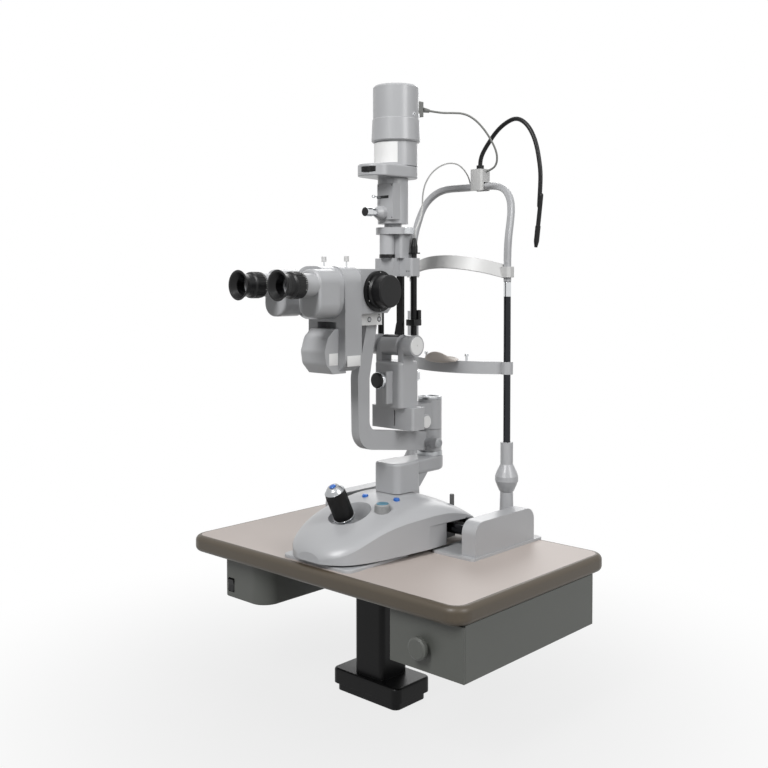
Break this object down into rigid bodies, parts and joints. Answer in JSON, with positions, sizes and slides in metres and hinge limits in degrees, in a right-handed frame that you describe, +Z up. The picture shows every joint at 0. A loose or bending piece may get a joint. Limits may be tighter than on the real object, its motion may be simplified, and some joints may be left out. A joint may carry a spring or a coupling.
{
  "type": "slit lamp",
  "caption": "Slit lamp microscope with a joystick base, lamp tower and headrest on an instrument table corner with drawer and column",
  "frame": {"origin": "centre of the face under the column foot, where it is bolted down", "axes": "+Z up, +X along the table's long edge, +Y from the examiner to the patient"},
  "size_m": [0.583, 0.4973, 0.979],
  "materials": {
    "light_enamel": "satin light grey stove enamel",
    "white_enamel": "satin white enamel",
    "foot_enamel": "satin pale grey enamel",
    "black_enamel": "satin black powder coat",
    "dark_enamel": "satin dark grey enamel",
    "case_enamel": "fine-textured grey powder coat",
    "laminate": "beige-grey laminate",
    "edge_plastic": "brown-grey moulded edge",
    "black_plastic": "fine-textured black plastic",
    "blue_plastic": "glossy blue plastic",
    "chrome": "polished chrome",
    "black_chrome": "polished black chrome",
    "steel": "brushed steel",
    "glass": "coated optical glass",
    "grey_cable": "matte grey cable jacket",
    "white_cable": "matte white cable jacket",
    "chin_plastic": "brown-grey moulded plastic"
  },
  "bodies": {
    "root": {"column_foot": "foot_enamel", "column_post": "black_enamel", "table_top": "laminate", "edge_band": "edge_plastic", "power_box": "foot_enamel", "drawer_case": "case_enamel", "slide_plate": "steel", "rail_foot_right": "light_enamel", "rail_foot_left": "light_enamel", "rail_cover_right": "light_enamel", "rail_cover_left": "light_enamel", "headrest_post_right": "light_enamel", "headrest_post_left": "light_enamel", "headrest_arch": "light_enamel", "forehead_band": "white_enamel", "junction_box": "white_enamel", "lamp_cable": "grey_cable", "tower_cable": "white_cable"},
    "switch": {"power_switch": "black_plastic"},
    "drawer_body": {"drawer": "case_enamel"},
    "fixation": {"fixation_lamp": "black_plastic"},
    "chin_rest": {"chin_bar": "light_enamel", "chin_cup": "chin_plastic"},
    "height_nut": {"chin_nut": "chrome"},
    "carriage": {"guide_bar": "steel"},
    "axle": {"cross_axle": "steel"},
    "base": {"base_cover": "light_enamel", "base_frame": "dark_enamel"},
    "left_button": {"button_left": "blue_plastic"},
    "right_button": {"button_right": "blue_plastic"},
    "dial": {"light_dial": "dark_enamel"},
    "clamp": {"clamp_screw": "dark_enamel"},
    "stick_cross": {"joystick_cross": "steel"},
    "stick": {"joystick_stem": "chrome"},
    "grip": {"joystick_grip": "black_plastic"},
    "grip_button": {"joystick_button": "blue_plastic"},
    "lift": {"lift_tube": "chrome", "pedestal": "light_enamel", "pivot_post": "steel"},
    "scope": {"scope_arm": "light_enamel", "microscope_body": "light_enamel", "binocular_head": "light_enamel"},
    "scope_knob": {"scope_lock": "black_plastic"},
    "drum": {"magnification_drum": "black_plastic"},
    "right_prism": {"prism_box_right": "light_enamel"},
    "left_prism": {"prism_box_left": "light_enamel"},
    "right_focus": {"focus_ring_right": "black_plastic"},
    "left_focus": {"focus_ring_left": "black_plastic"},
    "lamp": {"lamp_arm": "light_enamel", "tower_base": "light_enamel"},
    "lamp_knob": {"lamp_lock": "black_plastic"},
    "slit_width": {"slit_width_knob": "black_plastic"},
    "tower": {"tower_frame": "dark_enamel", "tower_lens": "glass", "slit_body": "light_enamel", "filter_housing": "light_enamel", "lamp_cap": "light_enamel", "tower_plug": "black_plastic"},
    "slit_length": {"slit_length_knob": "chrome"},
    "filter": {"filter_wheel": "black_plastic"}
  },
  "joints": [
    {"name": "power_switch_rock", "type": "hinge", "parent": "root", "child": "switch", "pos_m": [-0.214, -0.13, 0.163], "axis": [1, 0, 0], "range_deg": [-8, 8]},
    {"name": "drawer_slide", "type": "slide", "parent": "root", "child": "drawer_body", "axis": [0, -1, 0], "range_m": [0, 0.22]},
    {"name": "fixation_swing", "type": "hinge", "parent": "root", "child": "fixation", "pos_m": [0.021, 0.231, 0.868], "axis": [0, 0, 1], "range_deg": [-90, 90]},
    {"name": "chin_slide", "type": "slide", "parent": "root", "child": "chin_rest", "axis": [0, 0, 1], "range_m": [-0.005, 0.05]},
    {"name": "chin_nut_turn", "type": "hinge", "parent": "chin_rest", "child": "height_nut", "pos_m": [-0.105, 0.197, 0.49], "axis": [0, 0, 1], "range_deg": [-95, 905]},
    {"name": "carriage_slide", "type": "slide", "parent": "root", "child": "carriage", "axis": [0, 1, 0], "range_m": [-0.012, 0.042]},
    {"name": "axle_roll", "type": "hinge", "parent": "carriage", "child": "axle", "pos_m": [0, 0.069, 0.272], "axis": [1, 0, 0], "range_deg": [-145, 45]},
    {"name": "base_slide", "type": "slide", "parent": "carriage", "child": "base", "axis": [1, 0, 0], "range_m": [-0.035, 0.035]},
    {"name": "button_left_press", "type": "slide", "parent": "base", "child": "left_button", "axis": [0, 0, -1], "range_m": [0, 0.0015], "stiffness_N_per_m": 400},
    {"name": "button_right_press", "type": "slide", "parent": "base", "child": "right_button", "axis": [0, 0, -1], "range_m": [0, 0.0015], "stiffness_N_per_m": 400},
    {"name": "dial_turn", "type": "hinge", "parent": "base", "child": "dial", "pos_m": [0.043, -0.042, 0.31], "axis": [0, 0, 1], "range_deg": [-10, 270]},
    {"name": "clamp_turn", "type": "hinge", "parent": "base", "child": "clamp", "pos_m": [0.06, 0.107, 0.3], "axis": [0, 0, 1], "range_deg": [-90, 90]},
    {"name": "stick_fore", "type": "hinge", "parent": "base", "child": "stick_cross", "pos_m": [0, -0.069, 0.275], "axis": [1, 0, 0], "range_deg": [-40, 2]},
    {"name": "stick_side", "type": "hinge", "parent": "stick_cross", "child": "stick", "pos_m": [0, -0.069, 0.275], "axis": [0, 1, 0], "range_deg": [-12, 12]},
    {"name": "grip_turn", "type": "hinge", "parent": "stick", "child": "grip", "pos_m": [0, -0.069, 0.275], "axis": [0, -0.4415, 0.8973], "range_deg": [-5, 365]},
    {"name": "grip_button_press", "type": "slide", "parent": "grip", "child": "grip_button", "axis": [0, 0.4415, -0.8973], "range_m": [0, 0.0015], "stiffness_N_per_m": 400},
    {"name": "lift_slide", "type": "slide", "parent": "base", "child": "lift", "axis": [0, 0, 1], "range_m": [0, 0.03], "deforming": ["lamp_cable", "tower_cable"]},
    {"name": "scope_swing", "type": "hinge", "parent": "lift", "child": "scope", "pos_m": [0, 0.121, 0.397], "axis": [0, 0, 1], "range_deg": [-45, 45]},
    {"name": "scope_lock_turn", "type": "hinge", "parent": "scope", "child": "scope_knob", "pos_m": [0.02, 0.105, 0.397], "axis": [1, 0, 0], "range_deg": [-90, 90]},
    {"name": "drum_turn", "type": "hinge", "parent": "scope", "child": "drum", "pos_m": [0, -0.047, 0.651], "axis": [1, 0, 0], "range_deg": [-144, 144]},
    {"name": "prism_right_swing", "type": "hinge", "parent": "scope", "child": "right_prism", "pos_m": [0.032, -0.145, 0.641], "axis": [0, 1, 0], "range_deg": [-8, 8]},
    {"name": "prism_left_swing", "type": "hinge", "parent": "scope", "child": "left_prism", "pos_m": [-0.032, -0.145, 0.641], "axis": [0, 1, 0], "range_deg": [-8, 8]},
    {"name": "focus_right_turn", "type": "hinge", "parent": "right_prism", "child": "right_focus", "pos_m": [0.043, -0.23, 0.661], "axis": [0, 1, 0], "range_deg": [-120, 120]},
    {"name": "focus_left_turn", "type": "hinge", "parent": "left_prism", "child": "left_focus", "pos_m": [-0.043, -0.23, 0.661], "axis": [0, 1, 0], "range_deg": [-120, 120]},
    {"name": "lamp_swing", "type": "hinge", "parent": "lift", "child": "lamp", "pos_m": [0, 0.121, 0.44], "axis": [0, 0, 1], "range_deg": [-60, 60]},
    {"name": "lamp_lock_turn", "type": "hinge", "parent": "lamp", "child": "lamp_knob", "pos_m": [0.024, 0.069, 0.437], "axis": [1, 0, 0], "range_deg": [-90, 90]},
    {"name": "slit_width_turn", "type": "hinge", "parent": "lamp", "child": "slit_width", "pos_m": [0, 0, 0.508], "axis": [0, -1, 0], "range_deg": [0, 300]},
    {"name": "tower_tilt", "type": "hinge", "parent": "lamp", "child": "tower", "pos_m": [0, 0.033, 0.563], "axis": [-1, 0, 0], "range_deg": [0, 15]},
    {"name": "slit_length_turn", "type": "hinge", "parent": "tower", "child": "slit_length", "pos_m": [0, -0.01, 0.775], "axis": [0, -1, 0], "range_deg": [-150, 150]},
    {"name": "filter_turn", "type": "hinge", "parent": "tower", "child": "filter", "pos_m": [0.004, -0.0235, 0.841], "axis": [0, 0, 1], "range_deg": [-120, 120]}
  ],
  "couplings": [
    {"joint": "chin_nut_turn", "follows": "chin_slide", "rad_per_m": 314.16},
    {"joint": "axle_roll", "follows": "carriage_slide", "rad_per_m": -58.824},
    {"joint": "grip_turn", "follows": "lift_slide", "rad_per_m": 209.44},
    {"joint": "prism_left_swing", "follows": "prism_right_swing", "ratio": -1}
  ]
}
